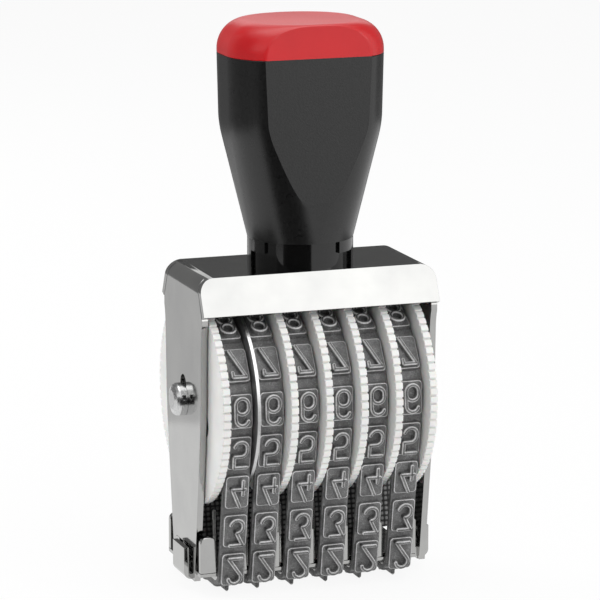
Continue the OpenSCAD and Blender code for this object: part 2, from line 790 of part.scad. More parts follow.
module handle_grip() {
    color("black")
    difference() {
        union() {
            hull() {
                grip_layer(flare_z, 0, 0);
                grip_layer(straight_z - shoulder_h, 1 - shoulder_h / flare_h, 0);
                grip_layer(straight_z, 1 - shoulder_h / flare_h / 4, 0);
                grip_layer(straight_z + shoulder_h, 1, 0);
                grip_layer(cap_z - layer, 1, -grip_taper);
            }
            translate([0, 0, grip_foot_z]) cylinder(h = skirt_h + eps, r = skirt_r);
        }
        flats(flare_z, cap_z + 1);
        // Room for the collar and its spigot
        translate([0, 0, grip_foot_z - 1])
            cylinder(h = collar_top_z + seam_gap - grip_foot_z + 1, r = collar_r + still_fit);
        translate([0, 0, grip_foot_z])
            cylinder(h = spigot_top_z + seam_gap - grip_foot_z, r = spigot_r + still_fit);
        translate([0, 0, grip_foot_z])
            cylinder(h = screw_l + still_fit, d = screw_d + 2 * still_fit);
        // Hole for the cap's pin
        translate([0, 0, cap_z - cap_pin_l - still_fit])
            cylinder(h = cap_pin_l + 1, d = cap_pin_d + 2 * still_fit);
        // The skirt is open between its two legs, with a step beside each leg
        for (turn = [0, 180]) rotate(turn - skirt_turn) {
            wedge(window_angle, grip_foot_z - 1, flare_z - 0.05);
            wedge(leg_window_angle, grip_foot_z - 1, step_z);
        }
    }
}

module handle_cap() {
    edge_z = top_z - cap_r;
    color("crimson")
    difference() {
        union() {
            hull() {
                grip_layer(cap_z, 1, -grip_taper);
                for (a = [0 : 15 : 75])
                    grip_layer(edge_z + (cap_r + 0.5) * sin(a), 1, cap_r * (1 - cos(a)) - grip_taper);
            }
            translate([0, 0, cap_z - cap_pin_l]) cylinder(h = cap_pin_l + 1, d = cap_pin_d);
        }
        flats(cap_z, top_z + 5);
        translate([-beyond / 2, -beyond / 2, top_z]) cube([beyond, beyond, 10]);
    }
}

frame();
axle();
axle_cap();
axle_spacer();
wheel(1);  // wheel_1
wheel(2);  // wheel_2
wheel(3);  // wheel_3
wheel(4);  // wheel_4
wheel(5);  // wheel_5
wheel(6);  // wheel_6
separator_disc();
band(1);  // band_1
band(2);  // band_2
band(3);  // band_3
band(4);  // band_4
band(5);  // band_5
band(6);  // band_6
platen();
guide_comb();
handle_collar();
handle_screw();
screw_washer();
handle_grip();
handle_cap();
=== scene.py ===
"""Hand numbering stamp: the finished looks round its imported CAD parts, laid out as an add-on."""

import json
import math

import bmesh
import bpy
from bpy.props import FloatProperty, FloatVectorProperty, IntProperty, StringProperty
from mathutils import Matrix, Vector

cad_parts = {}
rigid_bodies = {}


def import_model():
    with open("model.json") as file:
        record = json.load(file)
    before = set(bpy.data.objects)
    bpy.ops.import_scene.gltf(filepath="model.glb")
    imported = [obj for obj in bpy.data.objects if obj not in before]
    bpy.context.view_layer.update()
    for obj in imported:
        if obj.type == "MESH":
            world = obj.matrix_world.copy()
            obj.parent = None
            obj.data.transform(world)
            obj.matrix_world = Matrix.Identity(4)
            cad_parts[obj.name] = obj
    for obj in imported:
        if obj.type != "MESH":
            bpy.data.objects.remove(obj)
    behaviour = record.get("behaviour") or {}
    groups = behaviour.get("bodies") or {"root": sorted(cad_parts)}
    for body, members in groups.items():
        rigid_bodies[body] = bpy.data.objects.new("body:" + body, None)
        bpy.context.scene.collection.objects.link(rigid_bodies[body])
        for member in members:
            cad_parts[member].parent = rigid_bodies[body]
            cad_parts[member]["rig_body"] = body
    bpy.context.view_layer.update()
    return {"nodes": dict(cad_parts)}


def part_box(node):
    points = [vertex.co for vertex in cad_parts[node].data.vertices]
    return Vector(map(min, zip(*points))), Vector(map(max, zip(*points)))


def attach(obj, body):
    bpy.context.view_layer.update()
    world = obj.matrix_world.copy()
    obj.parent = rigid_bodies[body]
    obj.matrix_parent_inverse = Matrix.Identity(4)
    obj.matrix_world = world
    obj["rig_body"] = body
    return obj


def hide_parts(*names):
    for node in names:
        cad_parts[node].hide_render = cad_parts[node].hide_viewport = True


bl_info = {
    "name": "Numbering stamp",
    "version": (1, 0, 0),
    "blender": (4, 5, 0),
    "location": "View3D > Sidebar > Numbering stamp",
    "description": "Builds a hand numbering stamp with six rubber number bands round its CAD parts",
    "category": "Add Mesh",
}

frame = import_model()

MM = 0.001
SAME_POINT = 0.001 * MM
BANDS = range(1, 7)
# Faces under this attribute take the painted edge highlight
MARKED = "rubbed"


# ---- Small tools for colours, nodes and meshes ----


def linear(hex_colour):
    """An sRGB hex colour such as "#808080" as linear RGBA."""
    channels = [int(hex_colour[i : i + 2], 16) / 255 for i in (1, 3, 5)]
    values = [c / 12.92 if c <= 0.04045 else ((c + 0.055) / 1.055) ** 2.4 for c in channels]
    return (*values, 1.0)


def per(cell_mm):
    """The texture scale at which one cell of a pattern is so many millimetres wide."""
    return 1 / (cell_mm * MM)


def add(tree, kind, inputs=None, **settings):
    """Adds a node with its own settings, and with values or other nodes' sockets for its inputs."""
    made = tree.nodes.new(kind)
    for name, value in settings.items():
        setattr(made, name, value)
    for key, value in (inputs or {}).items():
        for each in value if isinstance(value, list) else [value]:
            if isinstance(each, bpy.types.NodeSocket):
                tree.links.new(each, made.inputs[key])
            else:
                made.inputs[key].default_value = each
    return made


def result(tree, kind, inputs=None, **settings):
    """The first output of a new node."""
    return add(tree, kind, inputs, **settings).outputs[0]


def maths(tree, operation, *values):
    """The result of a Math node."""
    return result(tree, "ShaderNodeMath", dict(enumerate(values)), operation=operation)


def vector(tree, **parts):
    """A vector from its X, Y or Z, the others being 0."""
    return result(tree, "ShaderNodeCombineXYZ", parts)


def join(tree, *parts):
    return result(tree, "GeometryNodeJoinGeometry", {"Geometry": list(parts)})


def moved(tree, geometry, **change):
    return result(tree, "GeometryNodeTransform", {"Geometry": geometry, **change})


def circle(tree, radius, points):
    """A closed curve round the Z axis."""
    return result(
        tree, "GeometryNodeCurvePrimitiveCircle", {"Resolution": points, "Radius": radius}
    )


def attribute(tree, name, kind):
    return add(
        tree, "GeometryNodeInputNamedAttribute", {"Name": name}, data_type=kind
    ).outputs["Attribute"]


def ramp(tree, factor, stops):
    """A colour ramp through (position, hex colour) stops."""
    made = add(tree, "ShaderNodeValToRGB", {"Fac": factor})
    band = made.color_ramp
    while len(band.elements) < len(stops):
        band.elements.new(0.5)
    for element, (position, colour) in zip(band.elements, stops):
        element.position = position
        element.color = linear(colour)
    return made.outputs["Color"]


def new_material(name, **constants):
    """A material with a Principled shader, and the constants set on the shader's own sockets."""
    made = bpy.data.materials.new(name)
    made.use_nodes = True
    shader = made.node_tree.nodes["Principled BSDF"]
    for key, value in constants.items():
        shader.inputs[key.replace("_", " ")].default_value = value
    return made, made.node_tree, shader


def bare_material(name):
    """A material with an empty tree."""
    made = bpy.data.materials.new(name)
    made.use_nodes = True
    made.node_tree.nodes.clear()
    return made, made.node_tree


def feed(tree, shader, **sources):
    """Links each source to the shader's input of that name."""
    for name, source in sources.items():
        tree.links.new(source, shader.inputs[name.replace("_", " ")])


def new_object(name, data):
    made = bpy.data.objects.new(name, data)
    bpy.context.scene.collection.objects.link(made)
    return made


def finish_piece(piece, material, body="root", stands_for=(), smooth_deg=35):
    """Gives a piece its material, shading and body, and hides the nodes it stands for."""
    mesh = piece.data
    if material is not None:
        mesh.materials.clear()
        mesh.materials.append(material)
    mesh.shade_smooth()
    mesh.set_sharp_from_angle(angle=math.radians(smooth_deg))
    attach(piece, body)
    if stands_for:
        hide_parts(*stands_for)
    return piece


def soften_edges(piece, width_mm, angle_deg=40, segments=2):
    bevel = piece.modifiers.new("soft edges", "BEVEL")
    bevel.width = width_mm * MM
    bevel.segments = segments
    bevel.limit_method = "ANGLE"
    bevel.angle_limit = math.radians(angle_deg)
    bevel.harden_normals = False
    bevel.use_clamp_overlap = True
    return piece


def merged_copy(node, name):
    """A copy of a CAD node's mesh with its loose triangles merged and its flat faces made whole."""
    build = bmesh.new()
    build.from_mesh(frame["nodes"][node].data)
    bmesh.ops.remove_doubles(build, verts=build.verts, dist=2 * SAME_POINT)
    bmesh.ops.dissolve_limit(
        build, angle_limit=math.radians(1), verts=build.verts, edges=build.edges
    )
    mesh = bpy.data.meshes.new(name)
    build.to_mesh(mesh)
    build.free()
    return new_object(name, mesh)


def face_outwards(mesh):
    build = bmesh.new()
    build.from_mesh(mesh)
    bmesh.ops.recalc_face_normals(build, faces=build.faces)
    build.to_mesh(mesh)
    build.free()


def skin_rings(name, rings, capped=True):
    """Skins rings of equally many points into a closed mesh, capped or led back to the start."""
    build = bmesh.new()
    rows = [[build.verts.new(Vector(p) * MM) for p in ring] for ring in rings]
    count = len(rows[0])
    following = rows[1:] if capped else rows[1:] + rows[:1]
    for low, high in zip(rows, following):
        for i in range(count):
            j = (i + 1) % count
            build.faces.new((low[i], low[j], high[j], high[i]))
    if capped:
        build.faces.new(rows[0][::-1])
        build.faces.new(rows[-1])
    bmesh.ops.recalc_face_normals(build, faces=build.faces)
    mesh = bpy.data.meshes.new(name)
    build.to_mesh(mesh)
    build.free()
    return mesh


def geometry_tree(name, numbers, **others):
    """A Geometry Nodes tree: the names of its number inputs, and other inputs with their kinds."""
    tree = bpy.data.node_groups.new(name, "GeometryNodeTree")
    kinds = {"Geometry": "Geometry", **dict.fromkeys(numbers, "Float"), **others}
    for label, kind in kinds.items():
        tree.interface.new_socket(
            label.replace("_", " "), in_out="INPUT", socket_type="NodeSocket" + kind
        )
    tree.interface.new_socket("Geometry", in_out="OUTPUT", socket_type="NodeSocketGeometry")
    return tree, tree.nodes.new("NodeGroupInput").outputs


def close_tree(tree, geometry, *materials):
    """Ends a tree in Realize Instances and Set Material; a second material goes on marked faces."""
    last = add(tree, "GeometryNodeRealizeInstances", {"Geometry": geometry})
    for i, material in enumerate(materials):
        last = add(
            tree, "GeometryNodeSetMaterial", {"Geometry": last.outputs[0], "Material": material}
        )
        if i > 0:
            tree.links.new(attribute(tree, MARKED, "BOOLEAN"), last.inputs["Selection"])
    tree.links.new(last.outputs[0], tree.nodes.new("NodeGroupOutput").inputs[0])


def grow(name, base_mesh, tree, values):
    """Runs a tree over a base mesh and keeps what it makes as a plain mesh."""
    base = new_object(name + "_base", base_mesh)
    modifier = base.modifiers.new(tree.name, "NODES")
    modifier.node_group = tree
    for item in tree.interface.items_tree:
        if item.in_out == "INPUT" and item.name in values:
            modifier[item.identifier] = values[item.name]
    graph = bpy.context.evaluated_depsgraph_get()
    mesh = bpy.data.meshes.new_from_object(base.evaluated_get(graph))
    mesh.name = name
    bpy.data.objects.remove(base)
    return mesh


def store(mesh, name, kind, values, domain="POINT"):
    """Stores a value for each point or face under a name."""
    mesh.attributes.new(name, kind, domain).data.foreach_set("value", values)


def mark_faces(mesh, chosen):
    """Marks the faces that a test picks, for a tree's second material."""
    store(mesh, MARKED, "BOOLEAN", [chosen(face) for face in mesh.polygons], "FACE")


def mesh_from(name, points, edges=(), faces=()):
    mesh = bpy.data.meshes.new(name)
    mesh.from_pydata([Vector(p) * MM for p in points], edges, faces)
    mesh.update()
    return mesh


# ---- Settings ----


def number(name, description, default, **more):
    return FloatProperty(name=name, description=description, default=default, **more)


def size_mm(name, description, default):
    """A setting in millimetres."""
    return number(name, description + ", mm", default)


def colour(name, description, default):
    """A setting that holds an sRGB hex colour."""
    return StringProperty(name=name, description="Colour of " + description, default=default)


class FinishSettings(bpy.types.PropertyGroup):
    """Colours of the finishes, as sRGB hex values."""

    nickel: colour("Nickel", "the nickel plating on the frame", "#A9A9A8")
    wheel_white: colour("Wheel white", "the thumb wheels", "#F4F4F2")
    rubber: colour("Rubber", "the rubber of the number bands", "#707070")
    # A painted highlight: the pale grey stands for light catching the upper edges
    rubbed: colour("Painted edge highlight", "the painted highlight on the upper edges of the pads and figures", "#D8D8D8")
    handle_black: colour("Handle black", "the moulded handle", "#0E0E0E")
    cap_red: colour("Cap red", "the handle's cap", "#CD1119")


class WheelSettings(bpy.types.PropertyGroup):
    """Sizes of a thumb wheel, in millimetres."""

    teeth: IntProperty(
        name="Teeth", description="Number of teeth round a wheel's rim", default=80, min=40
    )
    groove_depth: size_mm("Groove depth", "Depth of the grooves between the teeth", 0.5)
    disc: size_mm("Disc thickness", "Thickness of the rim disc", 1.2)
    drum_radius: size_mm("Drum radius", "Radius of the drum inside the band", 12.3)
    drum_wall: size_mm("Drum wall", "Wall of the drum", 1.2)
    boss_radius: size_mm("Boss radius", "Radius of the boss round the axle", 3.8)
    bore_radius: size_mm("Bore radius", "Radius of the bore for the axle", 2.05)
    window_radius: size_mm("Window radius", "Radius of the round windows", 2.0)
    window_ring: size_mm("Window ring", "Radius of the circle on which the windows lie", 7.3)
    window_turn: number("Window turn", "Angle of the first window, degrees", 82)


class BandSettings(bpy.types.PropertyGroup):
    """Sizes of a number band, in millimetres."""

    belt: size_mm("Belt thickness", "Thickness of the belt", 0.65)
    pads: IntProperty(name="Pads", description="Number of pads round a band", default=17, min=8)
    pad_length: size_mm("Pad length", "Length of a pad", 5.5)
    pad_width: size_mm("Pad width", "Width of a pad", 3.9)
    pad_corner: size_mm("Pad corner", "Corner radius of a pad", 0.6)
    pad_height: size_mm("Pad height", "Height of a pad", 0.6)
    figure_height: size_mm("Figure height", "Height of a figure", 4.8)
    figure_width: size_mm("Figure width", "Width of a figure", 2.6)
    stroke: size_mm("Stroke width", "Width of a figure's strokes", 0.55)
    relief: size_mm("Relief", "Height of a figure above its pad", 0.95)
    shift: size_mm(
        "Nought shift", "How far the nought's centre is behind the middle of the printing face", 2.8
    )
    half_depth: size_mm("Half depth", "Half depth of the belt over the platen", 8.35)
    corner: size_mm("Corner radius", "Radius of the belt at the platen's corners", 1.5)
    wheel_radius: size_mm("Radius over the wheel", "Radius of the belt over its drum", 12.6)


class GripSettings(bpy.types.PropertyGroup):
    """Sizes of the handle, in millimetres."""

    depth: size_mm("Depth", "Depth of the grip before its flats are cut", 19.3)
    corner: size_mm("Corner radius", "Corner radius of the grip's section", 7.8)
    skirt_radius: size_mm("Skirt radius", "Radius of the round skirt", 8.3)
    skirt_height: size_mm("Skirt height", "Height of the skirt", 4.2)
    flare: size_mm("Flare", "Height over which the grip widens", 18.0)
    taper: size_mm("Taper", "How much each side widens up to the cap", 0.2)
    cap_rounding: size_mm("Cap rounding", "Radius of the cap's rounded upper edge", 4.6)


class StageSettings(bpy.types.PropertyGroup):
    """Camera and light."""

    azimuth: number("Azimuth", "Camera's angle round the object, degrees", -19.4)
    elevation: number("Elevation", "Camera's angle above the horizon, degrees", 11.75)
    distance: number(
        "Distance", "Distance from the camera to the point it looks at", 0.5496, unit="LENGTH"
    )
    lens: size_mm("Lens", "Focal length on a 36 mm sensor", 210.0)
    target: FloatVectorProperty(
        name="Target",
        description="Point that the camera looks at",
        default=(-0.00002, 0.0, 0.04441),
        unit="LENGTH",
    )
    key: number("Key light", "Power of the key light, W", 2.2)
    top: number("Top light", "Power of the top light, W", 1.2)
    fill: number("Fill light", "Power of the fill light, W", 0.12)
    rear: number("Rear light", "Power of the rear light, W", 1.5)


SETTINGS = {
    "stamp_finish": FinishSettings,
    "stamp_wheels": WheelSettings,
    "stamp_bands": BandSettings,
    "stamp_grip": GripSettings,
    "stamp_stage": StageSettings,
}


# ---- Materials ----


def object_coordinates(tree, stretch=(1, 1, 1)):
    place = add(tree, "ShaderNodeTexCoord").outputs["Object"]
    if tuple(stretch) == (1, 1, 1):
        return place
    return add(tree, "ShaderNodeMapping", {"Vector": place, "Scale": stretch}).outputs["Vector"]


def noise(tree, place, cell_mm, detail=2.0, roughness=0.5):
    return add(
        tree,
        "ShaderNodeTexNoise",
        {"Vector": place, "Scale": per(cell_mm), "Detail": detail, "Roughness": roughness},
    ).outputs["Fac"]


def bump(tree, height, depth_mm):
    inputs = {"Height": height, "Distance": depth_mm * MM, "Strength": 1.0}
    return add(tree, "ShaderNodeBump", inputs).outputs["Normal"]


def spread(tree, value, low, high):
    """Maps 0..1 to low..high."""
    return add(
        tree, "ShaderNodeMapRange", {"Value": value, "To Min": low, "To Max": high}
    ).outputs["Result"]


def nickel_plated_steel(finish):
    """Bright nickel over rolled sheet: soft, slightly cloudy reflections and fine rolling lines."""
    material, tree, shader = new_material("nickel_plated_steel", Metallic=1.0)
    # Rolling lines 0.12 mm apart and about 4 mm long
    lines = noise(tree, object_coordinates(tree, (0.03, 1, 1)), 0.12, 3)
    cloud = noise(tree, object_coordinates(tree), 7.0, 3)
    feed(
        tree,
        shader,
        Base_Color=ramp(tree, cloud, [(0.3, finish.nickel), (0.75, "#B4B4B2")]),
        Roughness=maths(
            tree, "ADD", spread(tree, lines, 0.04, 0.1), spread(tree, cloud, 0.02, 0.05)
        ),
        Normal=bump(tree, lines, 0.0012),
    )
    return material


def grained(name, cell_mm, detail, colours, rough, depth_mm, **constants):
    """A material with one grain, which varies its colour, its roughness and its height."""
    material, tree, shader = new_material(name, **constants)
    grain = noise(tree, object_coordinates(tree), cell_mm, *detail)
    feed(
        tree, shader, Base_Color=ramp(tree, grain, colours), Roughness=spread(tree, grain, *rough)
    )
    if depth_mm > 0:
        feed(tree, shader, Normal=bump(tree, grain, depth_mm))
    return material


def turned_steel():
    """Zinc-plated steel, turned on a lathe: brighter and smoother than the sheet."""
    colours = [(0.3, "#BDBEBF"), (0.7, "#D6D6D5")]
    return grained(
        "turned_zinc_plated_steel", 0.25, (3,), colours, (0.18, 0.32), 0.003, Metallic=1.0
    )


def spring_steel():
    """Cold-rolled spring steel, satin: the thin disc between the first two bands."""
    colours = [(0.3, "#C0C0C0"), (0.7, "#D6D6D6")]
    return grained("satin_spring_steel", 0.2, (2,), colours, (0.25, 0.4), 0, Metallic=1.0)


def white_acetal(finish):
    """Injection-moulded acetal: slightly translucent white with a soft waxy gloss."""
    material, tree, shader = new_material(
        "moulded_white_acetal", IOR=1.48, Subsurface_Weight=0.15, Subsurface_Scale=0.4 * MM
    )
    place = object_coordinates(tree)
    cloud = noise(tree, place, 5.0, 2)
    feed(
        tree,
        shader,
        Base_Color=ramp(tree, cloud, [(0.3, "#EDEDEB"), (0.7, finish.wheel_white)]),
        Roughness=spread(tree, noise(tree, place, 0.3, 2), 0.36, 0.48),
        Normal=bump(tree, noise(tree, place, 0.25, 2), 0.004),
    )
    return material


def vulcanised_rubber(name, greys):
    """Pressed rubber with a dusting of talc: matt grey, darker in specks where the talc is gone.
    With pale greys the same rubber is the painted edge highlight.
    """
    material, tree, shader = new_material(name, IOR=1.52, Specular_IOR_Level=0.6)
    place = object_coordinates(tree)
    cloud = noise(tree, place, 1.6, 4, 0.6)
    speck = noise(tree, place, 0.22, 2)
    dust = maths(tree, "MULTIPLY", cloud, speck)
    feed(
        tree,
        shader,
        Base_Color=ramp(tree, dust, list(zip((0.12, 0.3, 0.5), greys))),
        Roughness=spread(tree, speck, 0.42, 0.62),
        Normal=bump(tree, speck, 0.012),
    )
    return material


def cotton_backing():
    """Woven cotton inside each band: a plain weave of threads 0.4 mm thick, grey with use."""
    material, tree, shader = new_material("woven_cotton_backing", Roughness=0.9)
    place = object_coordinates(tree)
    # At scale 1 a wave is tau / 20 long, and here one wave is a thread and the gap beside it
    scale = math.tau / 20 * per(0.8)
    across, along = (
        add(
            tree,
            "ShaderNodeTexWave",
            {"Vector": place, "Scale": scale, "Distortion": 0.3, "Detail": 1.0},
            bands_direction=direction,
        ).outputs["Fac"]
        for direction in "XZ"
    )
    weave = maths(tree, "MULTIPLY", across, along)
    feed(
        tree,
        shader,
        Base_Color=ramp(tree, weave, [(0.0, "#303030"), (0.6, "#A0A0A0")]),
        Normal=bump(tree, weave, 0.08),
    )
    return material


def black_abs(finish, name, grain_mm, depth_mm, rough, pale):
    """Black injection-moulded ABS, with a grain from the mould's surface."""
    colours = [(0.3, finish.handle_black), (0.75, pale)]
    return grained(name, grain_mm, (3, 0.6), colours, rough, depth_mm, IOR=1.53)


def red_abs(finish):
    """Red injection-moulded ABS: a clean satin gloss with a very faint ripple."""
    material, tree, shader = new_material("moulded_red_abs", IOR=1.53)
    place = object_coordinates(tree)
    cloud = noise(tree, place, 6.0, 2)
    fine = noise(tree, place, 0.35, 2)
    feed(
        tree,
        shader,
        Base_Color=ramp(tree, cloud, [(0.3, "#C60F17"), (0.7, finish.cap_red)]),
        Roughness=spread(tree, fine, 0.26, 0.36),
        Normal=bump(tree, fine, 0.003),
    )
    return material


# ---- Thumb wheels ----


def slab(tree, outline, start, length):
    """Nodes that fill closed outlines and give them a thickness along Z."""
    flat = result(tree, "GeometryNodeFillCurve", {"Curve": outline})
    up = vector(tree, Z=1.0)
    thick = result(
        tree,
        "GeometryNodeExtrudeMesh",
        {"Mesh": flat, "Offset": up, "Offset Scale": length, "Individual": False},
    )
    foot = result(tree, "GeometryNodeFlipFaces", {"Mesh": flat})
    whole = join(tree, thick, foot)
    closed = result(
        tree, "GeometryNodeMergeByDistance", {"Geometry": whole, "Distance": SAME_POINT}
    )
    return moved(tree, closed, Translation=vector(tree, Z=start))


def ring_solid(tree, outer, inner, start, length, points):
    """Nodes for a plain ring: its two radii, where it starts along Z and its length."""
    outline = join(tree, circle(tree, outer, points), circle(tree, inner, points))
    return slab(tree, outline, start, length)


# The sizes that the tree's inputs take over under the settings' own names
SAME_NAMED = ["groove_depth", "window_radius", "window_ring"]
SAME_NAMED += ["bore_radius", "boss_radius", "drum_radius"]


def toothed_wheel_tree():
    """A thumb wheel along Z: its disc from 0 to the thickness and its drum beyond that."""
    tree, given = geometry_tree(
        "toothed_wheel",
        ["Radius", "Thickness", "Groove Depth", "Window Radius", "Window Ring", "Window Turn"]
        + ["Bore Radius", "Boss Radius", "Drum Radius", "Drum Inner Radius", "Drum Length"],
        Teeth="Int",
        Material="Material",
    )
    tooth_points, groove_points, bore_points, window_points, drum_points = 10, 2, 48, 40, 120
    window_count = 3
    count = maths(tree, "MULTIPLY", given["Teeth"], tooth_points)
    rim = circle(tree, given["Radius"], count)
    index = result(tree, "GeometryNodeInputIndex")
    step = maths(tree, "FLOORED_MODULO", index, tooth_points)
    in_groove = maths(tree, "LESS_THAN", step, groove_points - 0.5)
    depth = maths(tree, "MULTIPLY", in_groove, given["Groove Depth"])
    here = result(tree, "GeometryNodeInputPosition")
    outward = result(tree, "ShaderNodeVectorMath", {0: here}, operation="NORMALIZE")
    drop = result(tree, "ShaderNodeVectorMath", {0: outward, "Scale": depth}, operation="SCALE")
    cut = result(tree, "ShaderNodeVectorMath", {0: here, 1: drop}, operation="SUBTRACT")
    toothed = result(tree, "GeometryNodeSetPosition", {"Geometry": rim, "Position": cut})
    bore = circle(tree, given["Bore Radius"], bore_points)
    window = circle(tree, given["Window Radius"], window_points)
    centres = result(
        tree, "GeometryNodeMeshCircle", {"Vertices": window_count, "Radius": given["Window Ring"]}
    )
    turned = moved(tree, centres, Rotation=vector(tree, Z=given["Window Turn"]))
    windows = result(tree, "GeometryNodeInstanceOnPoints", {"Points": turned, "Instance": window})
    holes = result(tree, "GeometryNodeRealizeInstances", {"Geometry": windows})
    disc = slab(tree, join(tree, toothed, bore, holes), 0.0, given["Thickness"])
    # Drum and boss start a little inside the disc
    overlap = 0.05 * MM
    start = maths(tree, "SUBTRACT", given["Thickness"], overlap)
    length = maths(tree, "ADD", given["Drum Length"], overlap)
    outer, inner = given["Drum Radius"], given["Drum Inner Radius"]
    drum = ring_solid(tree, outer, inner, start, length, drum_points)
    outer, inner = given["Boss Radius"], given["Bore Radius"]
    boss = ring_solid(tree, outer, inner, start, length, bore_points)
    close_tree(tree, join(tree, disc, drum, boss), given["Material"])
    return tree


class StampWheels(bpy.types.Operator):
    """Six toothed thumb wheels of white plastic, each with its drum"""

    bl_idname = "stamp.thumb_wheels"
    bl_label = "Thumb wheels"

    def execute(self, context):
        sizes = context.scene.stamp_wheels
        acetal = white_acetal(context.scene.stamp_finish)
        tree = toothed_wheel_tree()
        for n in BANDS:
            node = f"wheel_{n}"
            low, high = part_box(node)
            radius = (high.z - low.z) / 2
            # The first wheel has its disc on the left, the others on the right
            facing = 1 if n == 1 else -1
            values = {
                "Radius": radius,
                "Thickness": sizes.disc * MM,
                "Teeth": sizes.teeth,
                "Window Turn": math.radians(90 + facing * sizes.window_turn),
                "Drum Inner Radius": (sizes.drum_radius - sizes.drum_wall) * MM,
                "Drum Length": high.x - low.x - sizes.disc * MM,
                "Material": acetal,
            }
            for size in SAME_NAMED:
                values[size.title().replace("_", " ")] = getattr(sizes, size) * MM
            mesh = grow(f"thumb_wheel_{n}", mesh_from("seed", [(0, 0, 0)]), tree, values)
            quarter = Matrix.Rotation(math.radians(90 * facing), 4, "Y")
            start = low.x if n == 1 else high.x
            mesh.transform(
                Matrix.Translation((start, (low.y + high.y) / 2, (low.z + high.z) / 2)) @ quarter
            )
            wheel = soften_edges(new_object(f"toothed_wheel_{n}", mesh), 0.09, 50)
            body = frame["nodes"][node]["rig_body"]
            finish_piece(wheel, acetal, body, [node])
        return {"FINISHED"}


# ---- Number bands ----


def band_track(sizes, axle_z):
    """The belt's inner face: its length, and (y, z, turn of its outward side) by distance."""
    foot_z = sizes.belt + sizes.pad_height + sizes.relief
    corner_y = sizes.half_depth - sizes.corner
    corner_z = foot_z + sizes.corner
    reach = math.hypot(corner_y, axle_z - corner_z)
    turn = math.atan2(corner_y, axle_z - corner_z) + math.acos(
        (sizes.wheel_radius - sizes.corner) / reach
    )
    run = math.sqrt(reach**2 - (sizes.wheel_radius - sizes.corner) ** 2)
    corner_l = sizes.corner * turn
    half = corner_y + corner_l + run + sizes.wheel_radius * (math.pi - turn)

    def front(s):
        if s <= corner_y:
            return s, foot_z, 0.0
        if s <= corner_y + corner_l:
            a = (s - corner_y) / sizes.corner
            return corner_y + sizes.corner * math.sin(a), corner_z - sizes.corner * math.cos(a), a
        if s <= corner_y + corner_l + run:
            u = s - corner_y - corner_l
            return (
                corner_y + sizes.corner * math.sin(turn) + u * math.cos(turn),
                corner_z - sizes.corner * math.cos(turn) + u * math.sin(turn),
                turn,
            )
        a = turn + (s - corner_y - corner_l - run) / sizes.wheel_radius
        return sizes.wheel_radius * math.sin(a), axle_z - sizes.wheel_radius * math.cos(a), a

    def track(s):
        s = (s + half) % (2 * half) - half
        y, z, a = front(abs(s))
        return (-y, z, a) if s >= 0 else (y, z, -a)

    return track, 2 * half


def arc(cx, cy, r, start_deg, end_deg, steps=14):
    """Points of an arc, anticlockwise from start to end."""
    return [
        (
            cx + r * math.cos(math.radians(start_deg + (end_deg - start_deg) * k / steps)),
            cy + r * math.sin(math.radians(start_deg + (end_deg - start_deg) * k / steps)),
        )
        for k in range(steps + 1)
    ]


def figure_lines(sizes):
    """Centre lines of the figures, upright and centred, by their place on the band."""
    top = sizes.figure_height / 2 - sizes.stroke / 2
    side = sizes.figure_width / 2 - sizes.stroke / 2
    bowl = top - side

    def oval(cy, r, straight):
        line = arc(0, cy + straight / 2, r, 0, 180) + arc(0, cy - straight / 2, r, 180, 360)
        return line + line[:1]

    six = [
        oval(side + 0.2 - top, side, 0.4),
        [(-side, side - top), (-side, bowl)],
        arc(0, bowl, side, 180, 20),
    ]
    bend = arc(0, bowl, side, 170, -25)

    def belly(y):
        """The lower bowl of a three or a five, from the height at which it starts."""
        return arc(0, y - side, side, 90, 0) + arc(0, side - top, side, 0, -165)

    return {
        0: [oval(0, side, 2 * bowl)],
        1: [[(0.2, -top), (0.2, top)], [(0.2, top), (-0.7, top - 0.9)]],
        2: [bend + [(-side, -top)], [(-side, -top), (side, -top)]],
        3: [[(-side, top), (side, top)], [(side, top), (0, 0.1)], belly(0.1)],
        4: [
            [(0.65, -top), (0.65, 2.3 - top)],
            [(0.2, top), (-side, 1.4 - top)],
            [(-side, 1.4 - top), (side, 1.4 - top)],
        ],
        5: [
            [(side, top), (-side, top)],
            [(-side, top), (-side, 0.3)],
            [(-side, 0.3), (0, 0.3)],
            belly(0.3),
        ],
        6: six,
        7: [
            [(-side, top - 0.7), (-side, top)],
            [(-side, top), (side, top)],
            [(side, top), (-side, -top)],
        ],
        8: [oval(-top / 2, side, top - 2 * side), oval(top / 2, side, top - 2 * side)],
        9: [[(-x, -y) for x, y in line] for line in six],
        11: [[(-0.8, 0), (0.8, 0)]],
        12: [[(-side, -top), (side, top)]],
        13: [[(0, 0.2 - top), (0, 0.25 - top)]],
        14: [[(-0.8, 0), (0.8, 0)], [(0, -0.8), (0, 0.8)]],
        15: [[(-0.8, 0.5), (0.8, 0.5)], [(-0.8, -0.5), (0.8, -0.5)]],
    }


